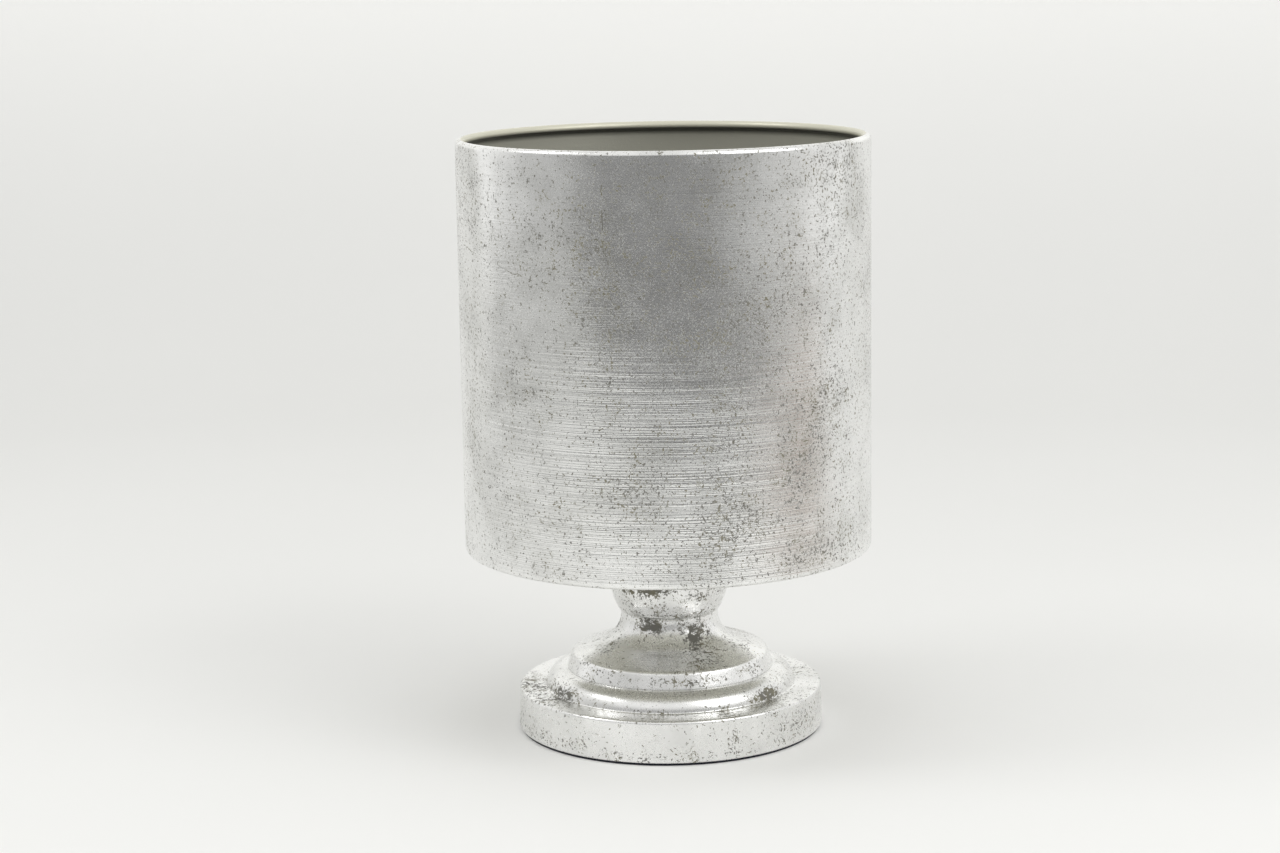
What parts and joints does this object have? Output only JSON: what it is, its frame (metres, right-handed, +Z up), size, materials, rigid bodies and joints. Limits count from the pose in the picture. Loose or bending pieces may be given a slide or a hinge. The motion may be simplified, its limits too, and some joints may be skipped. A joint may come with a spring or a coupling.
{
  "type": "footed planter",
  "caption": "Plain cylindrical metal planter with a rolled rim on a turned foot of knop, flared bell and moulded plinth, in worn silver leaf.",
  "frame": {"origin": "on the axis, at the surface that the foot stands on", "axes": "+Z up along the axis of the pot and the foot; -Y faces the viewer of the picture"},
  "size_m": [0.23, 0.23, 0.3363],
  "materials": {
    "silver_leaf": "worn silver leaf over an olive-grey metal, satin, with fine turning lines and flakes",
    "inner_metal": "bare olive-grey metal, satin",
    "steel": "zinc-plated steel",
    "seal_rubber": "matt black",
    "base_felt": "dark felt"
  },
  "bodies": {
    "root": {"pot_wall": "silver_leaf", "knop": "silver_leaf", "foot_bell": "silver_leaf", "foot_plinth": "silver_leaf", "pot_floor": "inner_metal", "rim_wire": "steel", "tie_bolt": "steel", "head_washer": "steel", "tie_bridge": "steel", "plain_washer": "steel", "spring_washer": "steel", "hex_nut": "steel", "seal_washer": "seal_rubber", "base_ring": "base_felt"}
  },
  "joints": []
}
